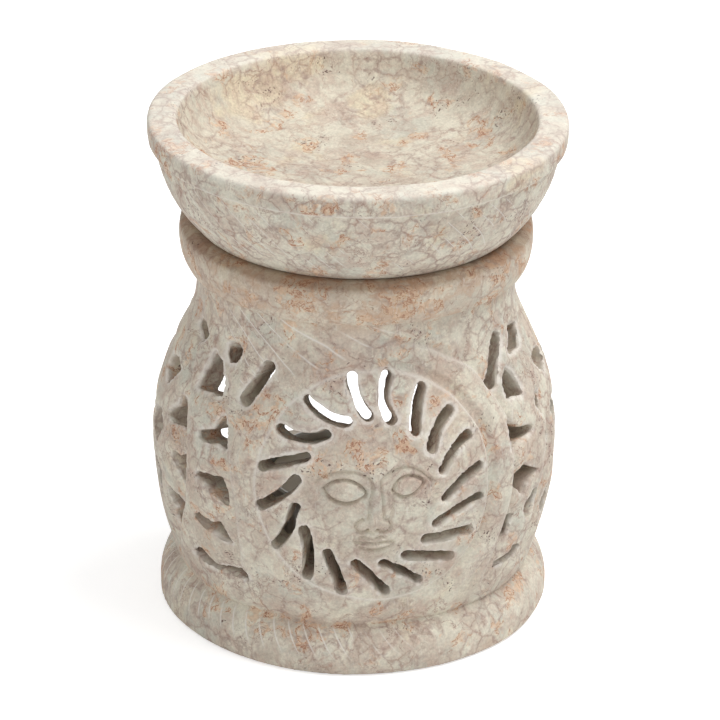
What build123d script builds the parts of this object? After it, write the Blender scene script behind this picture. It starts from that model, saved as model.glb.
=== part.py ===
from build123d import *
from math import asin, atan2, cos, degrees, hypot, radians, sin
import os

# An oil burner of soft stone in millimetres. A pierced body holds a tealight, and a loose
# bowl for water and oil stands on its neck. The origin is the centre of the underside and
# +Z is up. The carved sun faces -Y and the doorway for the tealight faces +Y.

# Pierced body: the outside, from the floor up
body_height = 84.0
foot_inset = 1.2
foot_side = 3.0
foot_edge = 0.8
crease_inset = 4.8
crease_height = 9.8
belly_radius = 41.4
belly_height = 37.0
belly_curve = 42.0
neck_inset = 9.2
neck_height = 71.5
neck_curve = 22.0
ring_bottom = 74.8
ring_lip = 2.0
ring_swell = 3.5
ring_middle_height = 79.6
ring_top_lip = 2.9
ring_edge = 1.2

# Pierced body: the chamber, straight below and drawn in to the neck, and its doorway
neck_wall = 5.2
belly_wall = 7.0
floor_height = 17.0
chamber_shoulder_height = 48.5
chamber_neck_height = 65.5
doorway_width = 54.0
doorway_side_height = 18.0
doorway_height = 36.0

# Sun: each ray is a slot cut square to the surface
sun_height = 41.0
ray_width = 2.3
ray_start_radius = 15.6
ray_end_radius = 22.6
# Angle of the inner end, turn to the outer end, bow of the middle as a share of the length,
# and how far the outer end reaches as a share of the end radius
ray_shares = [
    (92, 8, 0.09, 1.02), (73, 6, 0.13, 1.03), (51, 7, 0.05, 1.04), (33, 6, 0.10, 1.05),
    (15, 9, 0.07, 1.05), (-8, 15, 0.05, 1.05), (-28, 19, 0.05, 1.05), (-43, 16, 0.01, 1.04),
    (-62, 19, 0.01, 1.02), (-80, 17, 0.04, 1.0), (-101, 19, 0.03, 1.0), (-124, 19, 0.03, 1.01),
    (-149, 24, 0.06, 1.02), (-168, 21, 0.05, 1.02), (170, 20, 0.06, 1.02), (151, 18, 0.01, 1.02),
    (129, 19, 0.13, 1.02), (110, 18, 0.10, 1.02),
]

# Fretwork: a panel on each side of the sun, and one on each side of the doorway. The slants
# and the peg hole are cut at a lean to the surface
sun_margin = 3.4
doorway_margin = 0.8
panel_end_angle = 88
panel_bottom = 15.0
panel_top = 67.0
slant_width = 3.0
slant_lean_angle = -8
peg_hole_radius = 2.1
peg_hole_lean_angle = 28

# Corners of each opening: share of the panel's width, away from the sun, and of its height
left_opening_shares = [
    [(0.48, 0.91), (0.385, 0.885), (0.31, 0.82), (0.28, 0.775), (0.53, 0.755), (0.51, 0.8)],
    [(0.24, 0.725), (0.19, 0.675), (0.155, 0.595), (0.385, 0.595), (0.395, 0.62), (0.29, 0.65)],
    [(0.165, 0.485), (0.13, 0.44), (0.12, 0.365), (0.315, 0.42), (0.375, 0.435), (0.35, 0.465)],
    [(0.405, 0.255), (0.35, 0.285), (0.25, 0.265), (0.19, 0.285), (0.115, 0.19), (0.2, 0.2), (0.31, 0.225)],
    [(0.595, 0.945), (0.675, 0.975), (0.81, 0.97), (0.845, 0.935), (0.71, 0.89), (0.645, 0.9)],
    [(0.675, 0.7), (0.605, 0.675), (0.52, 0.575), (0.73, 0.585), (0.73, 0.615), (0.665, 0.645)],
    [(0.49, 0.495), (0.46, 0.44), (0.51, 0.345), (0.635, 0.44), (0.625, 0.47), (0.56, 0.46)],
    [(0.52, 0.26), (0.665, 0.105), (0.7, 0.13), (0.645, 0.2), (0.715, 0.275), (0.675, 0.295)],
    [(0.77, 0.76), (0.845, 0.79), (0.97, 0.77), (0.97, 0.715), (0.86, 0.675)],
    [(0.76, 0.53), (0.85, 0.58), (0.97, 0.555), (0.955, 0.475), (0.87, 0.42)],
    [(0.79, 0.32), (0.87, 0.355), (0.965, 0.325), (0.95, 0.235), (0.87, 0.19)],
    [(0.03, 0.035), (0.045, 0.085), (0.27, 0.068), (0.365, 0.115), (0.42, 0.105), (0.5, 0.05)],
]
right_opening_shares = [
    [(0.425, 0.87), (0.57, 0.965), (0.685, 0.945), (0.585, 0.87)],
    [(0.335, 0.85), (0.405, 0.81), (0.425, 0.72), (0.24, 0.745), (0.255, 0.8)],
    [(0.195, 0.675), (0.24, 0.655), (0.31, 0.62), (0.44, 0.6), (0.425, 0.57), (0.19, 0.56)],
    [(0.31, 0.475), (0.365, 0.44), (0.48, 0.395), (0.34, 0.37), (0.31, 0.325), (0.215, 0.4), (0.205, 0.44)],
    [(0.175, 0.275), (0.235, 0.28), (0.195, 0.185), (0.125, 0.175)],
    [(0.315, 0.28), (0.425, 0.32), (0.5, 0.31), (0.46, 0.265), (0.38, 0.2), (0.345, 0.23)],
    [(0.125, 0.045), (0.14, 0.075), (0.24, 0.085), (0.28, 0.115), (0.435, 0.085), (0.27, 0.05)],
    [(0.53, 0.665), (0.585, 0.69), (0.665, 0.65), (0.63, 0.59), (0.56, 0.6)],
    [(0.59, 0.51), (0.64, 0.535), (0.7, 0.47), (0.66, 0.43), (0.61, 0.45)],
    [(0.77, 0.76), (0.845, 0.79), (0.97, 0.77), (0.97, 0.715), (0.86, 0.675)],
    [(0.79, 0.55), (0.86, 0.58), (0.965, 0.56), (0.95, 0.5), (0.87, 0.445)],
    [(0.6, 0.2), (0.68, 0.25), (0.75, 0.2), (0.72, 0.12), (0.64, 0.11)],
]
# Ends of the slanted slot beside the neck, and the round hole left of it, in the same shares
left_slant_shares = [(-0.02, 0.925), (0.115, 0.8)]
right_slant_shares = [(0.34, 0.955), (0.15, 0.83)]
peg_hole_shares = (0.29, 0.94)

# Oil bowl: it rests on the ring and stands out beyond it
bowl_overhang = 6.9
bowl_height = 21.35
bowl_base_inset = 2.7
bowl_base_edge = 0.8
bowl_waist = 4.1
bowl_waist_rise = 7.5
rim_band = 4.6
rim_step = 1.3
rim_width = 5.9
rim_edge = 0.6
dish_draft = 3.0
dish_drop = 8.6
dish_depth = 12.8
dish_corner = 11.0
spigot_gap = 0.5
spigot_depth = 3.0
spigot_edge = 1.2

# Tealight: it stands a little in front of the axis
tealight_forward = 3.5
cup_radius = 19.0
cup_height = 12.0
cup_wall = 0.35
cup_taper = 0.5
cup_bead = 0.45
wax_depth = 9.5
wax_dip = 0.8
wick_radius = 0.75
wick_above_wax = 6.0
sustainer_radius = 6.0
sustainer_sheet = 0.3
sustainer_neck_height = 3.0

# How far every cut runs past the stone
overrun = 4.0

# Radii that follow from the sizes above
foot_radius = belly_radius - foot_inset
crease_radius = belly_radius - crease_inset
neck_radius = belly_radius - neck_inset
ring_top_radius = neck_radius + ring_top_lip
bowl_radius = ring_top_radius + bowl_overhang


# The barrel's outline, drawn flat with the radius along X and the height along Y: a curve on
# each side of the belly, and a straight shoulder that leans into the neck's hollow curve
curves_across = neck_radius + neck_curve - (belly_radius - belly_curve)
curves_up = neck_height - belly_height
curves_apart = hypot(curves_across, curves_up)
lean = degrees(atan2(curves_up, curves_across) + asin((belly_curve + neck_curve) / curves_apart)) - 90
with BuildLine() as barrel:
    TangentArc((belly_radius, belly_height), (crease_radius, crease_height), tangent=(0, -1))
    above_belly = JernArc((belly_radius, belly_height), (0, 1), belly_curve, lean)
    below_neck = JernArc((neck_radius, neck_height), (0, -1), neck_curve, lean)
    Line(above_belly @ 1, below_neck @ 1)
barrel_line = barrel.wire()


# The barrel's radius at this height, and the upward way that its outline runs there
def barrel_at(height):
    meet = barrel_line.intersect(Axis((0, height, 0), (1, 0, 0)))[0].center()
    along = barrel_line.tangent_at(meet)
    if along.Y < 0:
        along = -along
    return meet.X, along


# The plane that touches the barrel at a place: an angle from the sun's middle, and a height
def barrel_plane(angle, height):
    radius, along = barrel_at(height)
    turn = radians(angle)
    return Plane(
        origin=(radius * sin(turn), -radius * cos(turn), height),
        x_dir=(cos(turn), sin(turn), 0),
        z_dir=(along.Y * sin(turn), -along.Y * cos(turn), -along.X),
    )


# Places on the barrel as points of the plane that touches it at their middle
def on_plane(places, middle):
    radius, along = barrel_at(middle[1])
    return [
        Vector(radius * radians(angle - middle[0]), (height - middle[1]) / along.Y)
        for angle, height in places
    ]


def middle_of(places):
    return tuple(sum(values) / len(places) for values in zip(*places))


# A place given from the sun's centre, as a distance over the surface and an angle
def sun_place(distance, angle):
    turn = radians(angle)
    return degrees(distance * cos(turn) / belly_radius), sun_height + distance * sin(turn)


# A place given in shares of a panel beside the sun, -1 for the left and 1 for the right
def near_place(shares, side):
    across, up = shares
    start_angle = degrees((ray_end_radius + sun_margin) / belly_radius)
    angle = start_angle + across * (panel_end_angle - start_angle)
    return side * angle, panel_bottom + up * (panel_top - panel_bottom)


# The same in a panel beside the doorway
def far_place(shares, side):
    across, up = shares
    start_angle = degrees(asin((doorway_width / 2 + doorway_margin) / belly_radius))
    angle = start_angle + across * (panel_end_angle - start_angle)
    return side * (180 - angle), panel_bottom + up * (panel_top - panel_bottom)


# The four panels: the two beside the doorway repeat the left one, less its long bottom slot
openings = [[near_place(corner, -1) for corner in corners] for corners in left_opening_shares]
openings += [[near_place(corner, 1) for corner in corners] for corners in right_opening_shares]
for side in (-1, 1):
    openings += [[far_place(corner, side) for corner in corners] for corners in left_opening_shares[:-1]]
slants = [
    [near_place(end, -1) for end in left_slant_shares],
    [near_place(end, 1) for end in right_slant_shares],
]


# Pierced body: foot, barrel, neck and ring turned as one stone, then hollowed and pierced
chamber_radius = belly_radius - belly_wall
neck_opening_radius = neck_radius - neck_wall
with BuildPart() as pierced_body:
    with BuildSketch(Plane.XZ) as outside:
        with BuildLine():
            Polyline((0, body_height), (0, 0), (foot_radius, 0), (foot_radius, foot_side))
            TangentArc((foot_radius, foot_side), (crease_radius, crease_height), tangent=(0, 1))
            add(barrel_line)
            Polyline(
                (neck_radius, neck_height), (neck_radius, ring_bottom), (neck_radius + ring_lip, ring_bottom)
            )
            ThreePointArc(
                (neck_radius + ring_lip, ring_bottom), (neck_radius + ring_swell, ring_middle_height),
                (ring_top_radius, body_height),
            )
            Line((ring_top_radius, body_height), (0, body_height))
        make_face()
        chamfer(outside.vertices().group_by(Axis.Y)[0].sort_by(Axis.X)[-1], length=foot_edge)
        chamfer(outside.vertices().group_by(Axis.Y)[-1].sort_by(Axis.X)[-1], length=ring_edge)
    revolve(axis=Axis.Z)

    with BuildSketch(Plane.XZ):
        with BuildLine():
            Polyline(
                (0, floor_height), (chamber_radius, floor_height),
                (chamber_radius, chamber_shoulder_height), (neck_opening_radius, chamber_neck_height),
                (neck_opening_radius, body_height + overrun), (0, body_height + overrun), close=True,
            )
        make_face()
    revolve(axis=Axis.Z, mode=Mode.SUBTRACT)

    jamb_top = floor_height + doorway_side_height
    with BuildSketch(Plane.XZ):
        with BuildLine():
            Polyline(
                (-doorway_width / 2, jamb_top), (-doorway_width / 2, floor_height),
                (doorway_width / 2, floor_height), (doorway_width / 2, jamb_top),
            )
            ThreePointArc(
                (doorway_width / 2, jamb_top), (0, floor_height + doorway_height),
                (-doorway_width / 2, jamb_top),
            )
        make_face()
    extrude(amount=-(belly_radius + overrun), mode=Mode.SUBTRACT)

    for angle, turn, bow, reach in ray_shares:
        ends = [sun_place(ray_start_radius, angle), sun_place(ray_end_radius * reach, angle + turn)]
        with BuildSketch(barrel_plane(*middle_of(ends)).offset(overrun)):
            with BuildLine():
                start, end = on_plane(ends, middle_of(ends))
                chord = end - start
                ThreePointArc(start, start + chord / 2 + Vector(-chord.Y, chord.X) * bow, end)
                offset(amount=ray_width / 2)
            make_face()
    for places in openings:
        with BuildSketch(barrel_plane(*middle_of(places)).offset(overrun)):
            with BuildLine():
                Polyline(*on_plane(places, middle_of(places)), close=True)
            make_face()
    for ends in slants:
        leaning_plane = barrel_plane(*middle_of(ends)).rotated((0, slant_lean_angle, 0))
        with BuildSketch(leaning_plane.offset(overrun)):
            with BuildLine():
                Line(*on_plane(ends, middle_of(ends)))
                offset(amount=slant_width / 2)
            make_face()
    leaning_plane = barrel_plane(*near_place(peg_hole_shares, -1)).rotated((0, peg_hole_lean_angle, 0))
    with BuildSketch(leaning_plane.offset(overrun)):
        Circle(peg_hole_radius)
    extrude(amount=-(belly_wall + 2 * overrun), mode=Mode.SUBTRACT)


# Oil bowl: a turned dish with a flat rim, whose spigot finds the neck's opening
bowl_bottom = body_height
bowl_base_radius = ring_top_radius - bowl_base_inset
bowl_top = body_height + bowl_height
band_bottom = bowl_top - rim_band
dish_radius = bowl_radius - rim_width
with BuildPart() as oil_bowl:
    with BuildSketch(Plane.XZ) as bowl_outline:
        with BuildLine():
            Polyline((0, bowl_top), (0, bowl_bottom), (bowl_base_radius, bowl_bottom))
            ThreePointArc(
                (bowl_base_radius, bowl_bottom), (bowl_radius - bowl_waist, bowl_bottom + bowl_waist_rise),
                (bowl_radius - rim_step, band_bottom),
            )
            Polyline(
                (bowl_radius - rim_step, band_bottom), (bowl_radius, band_bottom), (bowl_radius, bowl_top),
                (0, bowl_top),
            )
        make_face()
        fillet(bowl_outline.vertices().group_by(Axis.Y)[0].sort_by(Axis.X)[-1], radius=bowl_base_edge)
        chamfer(bowl_outline.vertices().group_by(Axis.X)[-1], length=rim_edge)
    revolve(axis=Axis.Z)

    with BuildSketch(Plane.XZ) as spigot:
        with Locations((0, bowl_bottom)):
            Rectangle(neck_opening_radius - spigot_gap, spigot_depth, align=(Align.MIN, Align.MAX))
        chamfer(spigot.vertices().group_by(Axis.Y)[0].sort_by(Axis.X)[-1], length=spigot_edge)
    revolve(axis=Axis.Z)

    with BuildSketch(Plane.XZ) as dish:
        with BuildLine():
            TangentArc(
                (0, bowl_top - dish_depth), (dish_radius - dish_draft, bowl_top - dish_drop), tangent=(1, 0)
            )
            Polyline(
                (dish_radius - dish_draft, bowl_top - dish_drop), (dish_radius, bowl_top), (0, bowl_top),
                (0, bowl_top - dish_depth),
            )
        make_face()
        fillet(dish.vertices().sort_by(Axis.X)[-2], radius=dish_corner)
    revolve(axis=Axis.Z, mode=Mode.SUBTRACT)


# Where the tealight stands: its axis, and the plane that its turned outlines are drawn on
tealight_plane = Plane.XZ.offset(tealight_forward)
tealight_axis = Axis(tealight_plane.origin, (0, 0, 1))

# Tealight cup: pressed from thin sheet, with a slight taper and a rolled bead
cup_wall_radius = cup_radius - 2 * cup_bead + cup_wall
cup_base_radius = cup_wall_radius - cup_taper
cup_wall_top = floor_height + cup_height - cup_bead
with BuildPart() as tealight_cup:
    with BuildSketch(tealight_plane) as cup_outline:
        with BuildLine():
            Polyline(
                (0, floor_height), (cup_base_radius, floor_height), (cup_wall_radius, cup_wall_top),
                (cup_wall_radius - cup_wall, cup_wall_top),
                (cup_base_radius - cup_wall, floor_height + cup_wall), (0, floor_height + cup_wall),
                close=True,
            )
        make_face()
        with Locations((cup_radius, cup_wall_top + cup_bead)):
            Rectangle(cup_bead * 2, cup_bead * 2, align=Align.MAX)
        chamfer(cup_outline.vertices().group_by(Axis.X)[-1], length=cup_bead / 2)
    revolve(axis=tealight_axis)


# Wick sustainer: a tinplate disc on the cup's floor, with a neck that grips the wick
sustainer_bottom = floor_height + cup_wall
sustainer_plane = Plane(origin=(0, -tealight_forward, sustainer_bottom))
with BuildPart() as wick_sustainer:
    with BuildSketch(sustainer_plane):
        Circle(sustainer_radius)
    extrude(amount=sustainer_sheet)
    with BuildSketch(sustainer_plane):
        Circle(wick_radius + sustainer_sheet)
    extrude(amount=sustainer_neck_height)
    with BuildSketch(sustainer_plane):
        Circle(wick_radius)
    extrude(amount=sustainer_neck_height, mode=Mode.SUBTRACT)


# Wick: stands in the sustainer's neck and reaches above the wax
wax_top = sustainer_bottom + wax_depth
with BuildPart() as tealight_wick:
    with BuildSketch(sustainer_plane):
        Circle(wick_radius)
    extrude(amount=wax_depth + wick_above_wax)


# Wax: cast in the cup round the sustainer and the wick, lower in the middle
cup_slope = cup_taper / (cup_wall_top - floor_height)
wax_base_radius = cup_base_radius - cup_wall
with BuildPart() as tealight_wax:
    with BuildSketch(tealight_plane):
        with BuildLine():
            Polyline(
                (0, wax_top - wax_dip), (0, sustainer_bottom), (wax_base_radius, sustainer_bottom),
                (wax_base_radius + cup_slope * wax_depth, wax_top), close=True,
            )
        make_face()
    revolve(axis=tealight_axis)
    add(wick_sustainer.part, mode=Mode.SUBTRACT)
    add(tealight_wick.part, mode=Mode.SUBTRACT)


os.makedirs("parts", exist_ok=True)
pierced_body.part.label = "pierced_body"
export_step(pierced_body.part, "parts/pierced_body.step")
oil_bowl.part.label = "oil_bowl"
export_step(oil_bowl.part, "parts/oil_bowl.step")
tealight_cup.part.label = "tealight_cup"
export_step(tealight_cup.part, "parts/tealight_cup.step")
tealight_wax.part.label = "tealight_wax"
export_step(tealight_wax.part, "parts/tealight_wax.step")
tealight_wick.part.label = "tealight_wick"
export_step(tealight_wick.part, "parts/tealight_wick.step")
wick_sustainer.part.label = "wick_sustainer"
export_step(wick_sustainer.part, "parts/wick_sustainer.step")
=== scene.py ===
"""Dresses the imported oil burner: hand-carved soapstone, a fluted tealight, a white studio and its camera."""

from functools import reduce
from math import cos, pi, radians, sin, tau

import bmesh
import bpy
import numpy as np
from bpy.props import FloatProperty, FloatVectorProperty, IntProperty, PointerProperty
from bpy.types import Operator, Panel, PropertyGroup
from mathutils import Matrix, Vector
from mathutils.bvhtree import BVHTree
from mathutils.kdtree import KDTree


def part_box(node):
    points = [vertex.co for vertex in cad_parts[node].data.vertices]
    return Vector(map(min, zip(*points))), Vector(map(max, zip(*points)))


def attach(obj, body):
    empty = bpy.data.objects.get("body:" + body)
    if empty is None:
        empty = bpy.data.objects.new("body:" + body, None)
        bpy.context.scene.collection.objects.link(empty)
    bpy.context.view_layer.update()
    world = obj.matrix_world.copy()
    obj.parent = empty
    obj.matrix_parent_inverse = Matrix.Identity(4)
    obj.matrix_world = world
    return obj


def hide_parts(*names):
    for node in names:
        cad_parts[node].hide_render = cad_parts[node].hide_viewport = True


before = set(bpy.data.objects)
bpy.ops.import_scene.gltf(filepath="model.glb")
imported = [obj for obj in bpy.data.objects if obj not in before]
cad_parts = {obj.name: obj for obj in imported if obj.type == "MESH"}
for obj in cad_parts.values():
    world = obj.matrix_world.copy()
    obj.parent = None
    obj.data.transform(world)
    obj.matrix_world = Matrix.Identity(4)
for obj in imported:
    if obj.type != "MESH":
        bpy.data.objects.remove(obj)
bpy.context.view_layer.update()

bl_info = {
    "name": "Carved oil burner",
    "version": (1, 0, 0),
    "blender": (4, 5, 0),
    "location": "3D View > Sidebar > Burner",
    "description": "Carves and finishes a soapstone oil burner with its tealight, and sets up its studio",
    "category": "Object",
}

# Lengths below are in millimetres, and Blender's are in metres
MM = 0.001

# The sun's centre is on the barrel's front, and distances from it run over the surface
SUN_HEIGHT = 41.0
BELLY_RADIUS = 41.4
BARREL_BOTTOM = 10.5
BARREL_TOP = 74.0
BODY_TOP = 83.6
FOOT_CREASE = 9.9
BOWL_RADIUS = 42.0
BOWL_TOP = 105.35
BAND_STEP = 100.9

# How far round from the sun nothing pierces the body, so that its profile can be read there
PLAIN_BEARING = radians(36.5)

# How far from the sun's centre its engraving and its face reach
SUN_REACH = 42.0
FACE_REACH = 15.5

# How far behind the outer surface an opening's edge still counts, and how proud carving may stand
DEEPEST_OPENING_EDGE = 1.6
PROUD = 0.4

# The chamber's wall stands this much further in all round, and again by the left slanted slot
CHAMBER_WALL = 0.9
SLANT_WALL = 1.2

# The most triangles that each stone keeps, and the corner that still looks sharp
BODY_FACES = 188000
BOWL_FACES = 110000
SHARP_CORNER = radians(40)

# Where the lights point, in metres
LIGHT_AIM = Vector((0, 0, 0.05))

# How the paper and the backdrop glow where a ray shows them as background
PAPER_GLOW = 0.52
BACKDROP_GLOW = 1.05


# Shader maths


def overload(operation):
    """An operator and its reflected form, as methods that put this operation between two terms."""
    return (
        lambda wire, other: wire.reckon(operation, wire, other),
        lambda wire, other: wire.reckon(operation, other, wire),
    )


class Wire:
    """An output socket that Python's operators extend, with Math nodes or, on a vector, Vector Math."""

    def __init__(self, finish, socket):
        self.finish = finish
        self.socket = socket

    def carries_vector(self):
        return self.socket.type in {"VECTOR", "RGBA"}

    def reckon(self, operation, first, second):
        terms = (first, second)
        kind = "ShaderNodeMath"
        if any(isinstance(term, Wire) and term.carries_vector() for term in terms):
            kind = "ShaderNodeVectorMath"
            terms = [term if isinstance(term, Wire) or np.ndim(term) else (term,) * 3 for term in terms]
        return self.finish.node(kind, {"operation": operation}, dict(enumerate(terms)))

    __add__, __radd__ = overload("ADD")
    __sub__, __rsub__ = overload("SUBTRACT")
    __mul__, __rmul__ = overload("MULTIPLY")
    __truediv__, __rtruediv__ = overload("DIVIDE")

    def __abs__(self):
        return self.finish.node("ShaderNodeMath", {"operation": "ABSOLUTE"}, {0: self})

    def beside(self, output):
        """Another output of the node that this one comes from."""
        return Wire(self.finish, self.socket.node.outputs[output])


class Finish:
    """A material or world under construction, with the one method that adds its nodes."""

    def __init__(self, owner):
        self.owner = owner
        owner.use_nodes = True
        self.tree = owner.node_tree
        self.surface = self.tree.nodes.get("Principled BSDF")
        self.output = next(node for node in self.tree.nodes if node.name.endswith("Output"))

    def connect(self, node, values):
        for key, value in values.items():
            socket = node.inputs[key]
            if isinstance(value, Wire):
                self.tree.links.new(value.socket, socket)
            elif socket.type == "RGBA" and len(value) == 3:
                socket.default_value = (*value, 1)
            else:
                socket.default_value = value

    def node(self, kind, settings, values, output=0):
        node = self.tree.nodes.new(kind)
        for key, value in settings.items():
            setattr(node, key, value)
        self.connect(node, values)
        return Wire(self, node.outputs[output])

    def noise(self, place, size, detail, output="Fac", roughness=0.5):
        """Soft noise whose patches are about this many millimetres across."""
        inputs = {"Vector": place, "Scale": 1 / size, "Detail": detail, "Roughness": roughness}
        return self.node("ShaderNodeTexNoise", {}, inputs, output)

    def patches(self, place, size, detail, start, end, roughness=0.5):
        """Noise that fades from 0 to 1 between these levels."""
        return self.fade(self.noise(place, size, detail, roughness=roughness), start, end)

    def cells(self, place, size, feature):
        """Distance to the cells' edges or, with F1, to their middles, in cells about this wide."""
        inputs = {"Vector": place, "Scale": 1 / size}
        return self.node("ShaderNodeTexVoronoi", {"feature": feature}, inputs, "Distance")

    def fade(self, value, start, end):
        """0 at start and 1 at end, or the other way where start is the larger."""
        low, high = sorted((start, end))
        inputs = {"Value": value, "From Min": low, "From Max": high}
        share = self.node("ShaderNodeMapRange", {"interpolation_type": "SMOOTHSTEP"}, inputs)
        return share if end > start else 1 - share

    def mix(self, share, first, second):
        return self.node("ShaderNodeMix", {"data_type": "RGBA"}, {0: share, 6: first, 7: second}, 2)

    def seam(self, field, level, width):
        """A thin wandering line where a noise field crosses this level."""
        return self.fade(abs(field - level), width, 0.0)

    def arc(self, up, along):
        """The angle of a slope, in degrees."""
        return self.node("ShaderNodeMath", {"operation": "ARCTAN2"}, {0: up, 1: along}) * (180 / pi)

    def larger(self, first, second):
        return self.node("ShaderNodeMath", {"operation": "MAXIMUM"}, {0: first, 1: second})

    def around(self, place, spots):
        """1 at the nearest of these spots, given as (x, y, z, reach), and 0 out of reach of them all."""
        shares = []
        for *middle, reach in spots:
            gap = self.node("ShaderNodeVectorMath", {"operation": "DISTANCE"}, {0: place, 1: middle}, "Value")
            shares.append(self.fade(gap, reach, reach * 0.3))
        return reduce(self.larger, shares)

    def shows(self):
        """1 for a ray that shows the background: from the camera, off metal or through glass."""
        path = self.node("ShaderNodeLightPath", {}, {})
        kinds = ("Camera", "Glossy", "Transmission")
        return reduce(self.larger, [path.beside(f"Is {kind} Ray") for kind in kinds])

    def own(self, attribute):
        """A number that the piece's own mesh stores at each of its points."""
        return self.node("ShaderNodeAttribute", {"attribute_name": attribute}, {}, "Fac")

    def relief(self, height, depth, strength):
        """A Bump node for a height between 0 and 1, this many millimetres deep."""
        values = {"Strength": strength, "Distance": depth * MM, "Height": height}
        return self.node("ShaderNodeBump", {}, values)


class Coat(Finish):
    """A new material. Its spot is where a point lies on its piece, in millimetres."""

    def __init__(self, name):
        super().__init__(bpy.data.materials.new(name))
        self.spot = self.node("ShaderNodeTexCoord", {}, {}, "Object") / MM


# Sizes and colours that a maker would change


def length(name, description, millimetres, **limits):
    return FloatProperty(
        name=name, description=description, default=millimetres * MM, unit="LENGTH", precision=5, **limits
    )


def tint(name, description, colour):
    return FloatVectorProperty(
        name=name, description=description, default=colour, size=3, min=0, max=1, subtype="COLOR"
    )


def angle(name, description, degrees):
    return FloatProperty(name=name, description=description, default=radians(degrees), subtype="ANGLE")


def power(name, description, watts):
    return FloatProperty(name=name, description=description, default=watts, unit="POWER", min=0)


class BURNER_PG_stone(PropertyGroup):
    ground: tint("Ground", "The stone's main grey-beige", (0.56, 0.492, 0.402))
    cream: tint("Cream clouds", "Pale clouds in the stone", (0.68, 0.64, 0.53))
    cool: tint("Cool clouds", "Greyer, cooler clouds in the stone", (0.54, 0.54, 0.465))
    honey: tint("Honey clouds", "Yellower clouds, mostly in the bowl", (0.74, 0.64, 0.44))
    blush: tint("Blush", "Pinkish haze round the veins", (0.52, 0.37, 0.30))
    vein: tint("Veins", "The thin mauve-brown veins", (0.29, 0.19, 0.155))
    smoke: tint("Smoke", "Blotches along the pebbles' outlines", (0.36, 0.27, 0.235))
    rust: tint("Rust", "Red-brown cracks inside the stains", (0.30, 0.12, 0.07))
    orange: tint("Orange", "The stains round the rusty cracks", (0.68, 0.40, 0.22))
    sienna: tint("Sienna", "The warmer stone of the neck's ring", (0.55, 0.38, 0.25))
    speck: tint("Specks", "Small dark grains beside the veins", (0.10, 0.05, 0.045))
    # Painted shade in the face's carved lines
    groove_shade: tint("Dirt", "What has settled in the face's lines", (0.30, 0.27, 0.22))
    # Also painted shade: the bowl's shadow on the ring's top and shade deep in the chamber
    soot_and_shade: tint("Soot", "What the candle and the oil leave inside", (0.42, 0.30, 0.21))
    # Also the painted highlights on the bowl's band step and rim top
    dust_and_highlight: tint("Dust", "Pale stone dust in the engraved lines", (0.80, 0.76, 0.70))
    body_cell: length("Body cells", "Width of the pebbles on the body", 3.9, min=0)
    bowl_cell: length("Bowl cells", "Width of the pebbles on the bowl", 4.0, min=0)
    voxel: length("Carving grid", "Spacing of the mesh that the stone is carved in", 0.42, min=0.0002)
    relief: length("Face relief", "Height of the carved face", 0.8, min=0)
    unevenness: length("Unevenness", "How far hand work leaves the turned surface", 0.12, min=0)


class BURNER_PG_tealight(PropertyGroup):
    flutes: IntProperty(name="Flutes", description="Pressed flutes round the cup", default=56, min=8)
    flute_depth: length("Flute depth", "How deep the flutes are pressed", 0.16, min=0)
    sheet: length("Sheet", "Thickness of the cup's sheet", 0.2, min=0)
    aluminium: tint("Aluminium", "The bare sheet of the cup", (0.64, 0.63, 0.61))
    wax: tint("Wax", "Plain candle wax", (0.84, 0.77, 0.60))
    cotton: tint("Wick", "Waxed cotton", (0.78, 0.74, 0.64))
    tinplate: tint("Tinplate", "The wick's sustainer", (0.62, 0.62, 0.60))


class BURNER_PG_studio(PropertyGroup):
    azimuth: angle("Azimuth", "How far round the camera stands", -5)
    elevation: angle("Elevation", "The camera's height over the horizon", 25.585)
    roll: angle("Roll", "The camera's lean to one side", 0.689)
    distance: length("Distance", "From the camera to the burner", 822.4)
    aim_height: length("Aim height", "Height that the camera looks at", 51.29)
    aim_aside: length("Aim aside", "How far right of the axis the camera looks", 1.0)
    lens: FloatProperty(name="Lens", description="Focal length", default=201.27, unit="CAMERA", min=1)
    key: power("Key light", "Power of the large light above", 4.6)
    fill: power("Fill light", "Power of the light in front", 1.1)
    paper: tint("Paper", "The floor's white paper", (0.86, 0.86, 0.86))
    sky: FloatProperty(name="Sky", description="Strength of the light from all round", default=0.51, min=0)


# Mesh work


def soft_step(start, end, values):
    share = np.clip((values - start) / (end - start), 0, 1)
    return share * share * (3 - 2 * share)


def hill(values, width):
    return np.exp(-((values / width) ** 2))


def read(piece, layer):
    values = np.empty(len(piece.data.vertices) * 3)
    piece.data.vertices.foreach_get(layer, values)
    return values.reshape(-1, 3)


def read_points(piece):
    """The piece's points, in millimetres."""
    return read(piece, "co") / MM


def write_points(piece, points):
    piece.data.vertices.foreach_set("co", (points * MM).astype(np.float32).ravel())
    piece.data.update()


def polar(points):
    """Distance from the axis, and bearing from the sun's middle in radians."""
    return np.hypot(points[:, 0], points[:, 1]), np.arctan2(points[:, 0], -points[:, 1])


def set_polar(points, radius, bearing):
    points[:, 0] = radius * np.sin(bearing)
    points[:, 1] = -radius * np.cos(bearing)


def store(piece, name, values):
    """Keeps a number at each of the piece's points, for its material to read."""
    layer = piece.data.attributes.new(name, "FLOAT", "POINT")
    layer.data.foreach_set("value", values.astype(np.float32))


def bake_modifiers(piece):
    """Puts what the piece's modifiers make into its mesh, and takes them off."""
    view = bpy.context.evaluated_depsgraph_get()
    mesh = bpy.data.meshes.new_from_object(piece.evaluated_get(view))
    old = piece.data
    piece.modifiers.clear()
    piece.data = mesh
    bpy.data.meshes.remove(old)


def add_piece(name, data):
    piece = bpy.data.objects.new(name, data)
    bpy.context.scene.collection.objects.link(piece)
    return piece


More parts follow.
